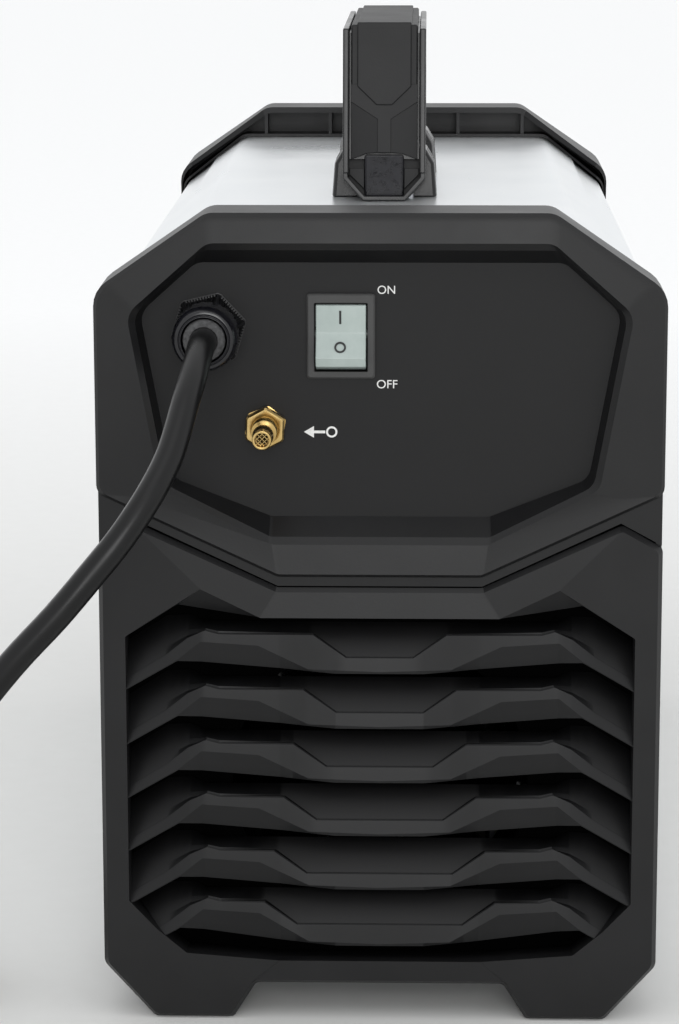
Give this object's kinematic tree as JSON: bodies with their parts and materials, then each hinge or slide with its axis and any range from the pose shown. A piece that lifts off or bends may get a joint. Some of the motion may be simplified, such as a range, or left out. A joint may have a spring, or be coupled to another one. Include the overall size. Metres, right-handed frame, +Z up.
{
  "type": "plasma cutter unit",
  "caption": "Air-cooled plasma cutter power unit with carrying handle, louvred rear end, rocker switch, gas inlet and coiled mains cord.",
  "frame": {"origin": "centre of the case's footprint on the floor, without the cord", "axes": "+Z up, +X to the right seen from the rear, rear end faces -Y"},
  "size_m": [0.4155, 0.6084, 0.3665],
  "materials": {
    "shell_black": "fine grained",
    "grille_black": "fine grained",
    "plate_black": "satin powder coat",
    "silver_paint": "satin metallic",
    "zinc_steel": "zinc plated",
    "soft_black": "matt",
    "gloss_black": "gloss",
    "nylon_black": "satin",
    "switch_grey": "satin",
    "brass": "turned",
    "cord_black": "satin",
    "alu": "extruded",
    "board_green": "solder mask",
    "can_blue": "sleeved can",
    "ferrite": "sintered",
    "winding_yellow": "taped winding",
    "winding_copper": "enamelled copper",
    "ceramic_white": "insulator",
    "device_black": "moulded",
    "wire_brown": "insulation",
    "hose_grey": "satin",
    "display_red": "tinted window",
    "key_grey": "satin",
    "lamp": "lens",
    "steel_dark": "blackened"
  },
  "bodies": {
    "case": {"rear_bezel": "shell_black", "rear_grille": "grille_black", "rear_plate": "plate_black", "front_bezel": "shell_black", "front_surround": "grille_black", "front_plate": "plate_black", "top_cover": "silver_paint", "left_side": "silver_paint", "right_side": "silver_paint", "base_pan": "zinc_steel", "handle_frame": "soft_black", "handle_shell": "shell_black", "handle_blocks": "gloss_black", "handle_screws": "zinc_steel", "side_screws": "steel_dark", "end_screws": "zinc_steel", "gland_body": "nylon_black", "gland_locknut": "nylon_black", "gland_dome_nut": "nylon_black", "gland_seal": "soft_black", "cable_tail": "cord_black", "power_cord": "cord_black", "cord_coil": "cord_black", "cord_tie": "soft_black", "plug_body": "nylon_black", "plug_pins": "brass", "switch_housing": "nylon_black", "switch_blades": "brass", "gas_inlet": "brass", "gas_nut": "brass", "valve_body": "brass", "valve_coil": "device_black", "valve_spring": "zinc_steel", "gas_hose": "hose_grey", "air_duct": "zinc_steel", "fan_frame": "nylon_black", "heat_sinks": "alu", "sink_feet": "ceramic_white", "power_board": "board_green", "transistors": "device_black", "capacitors": "can_blue", "transformer_core": "ferrite", "transformer_winding": "winding_yellow", "choke_core": "ferrite", "choke_winding": "winding_copper", "control_board": "board_green", "supply_wires": "wire_brown", "display_window": "display_red", "control_bases": "device_black", "front_lamps": "lamp", "work_socket": "nylon_black", "socket_contact": "brass", "torch_connector": "brass", "trigger_socket": "zinc_steel"},
    "power_rocker": {"switch_rocker": "switch_grey"},
    "fan": {"fan_rotor": "nylon_black"},
    "knob": {"current_knob": "nylon_black"},
    "mode_key": {"mode_button": "key_grey"},
    "test_key": {"test_button": "key_grey"},
    "plunger": {"valve_plunger": "zinc_steel"}
  },
  "joints": [
    {"name": "power_switch_rock", "type": "hinge", "parent": "case", "child": "power_rocker", "pos_m": [-0.0145, -0.2275, 0.2622], "axis": [1, 0, 0], "range_deg": [0, 24]},
    {"name": "fan_spin", "type": "hinge", "parent": "case", "child": "fan", "pos_m": [0, -0.23, 0.092], "axis": [0, 1, 0], "continuous": true},
    {"name": "current_knob_turn", "type": "hinge", "parent": "case", "child": "knob", "pos_m": [0, 0.2315, 0.2275], "axis": [0, 1, 0], "range_deg": [-150, 150]},
    {"name": "mode_button_press", "type": "slide", "parent": "case", "child": "mode_key", "axis": [0, -1, 0], "range_m": [0, 0.002], "stiffness_N_per_m": 800, "springref_m": -0.001},
    {"name": "test_button_press", "type": "slide", "parent": "case", "child": "test_key", "axis": [0, -1, 0], "range_m": [0, 0.002], "stiffness_N_per_m": 800, "springref_m": -0.001},
    {"name": "valve_plunger_lift", "type": "slide", "parent": "case", "child": "plunger", "axis": [0, 0, 1], "range_m": [0, 0.0015], "stiffness_N_per_m": 600, "springref_m": -0.002, "deforming": ["valve_spring"]}
  ]
}
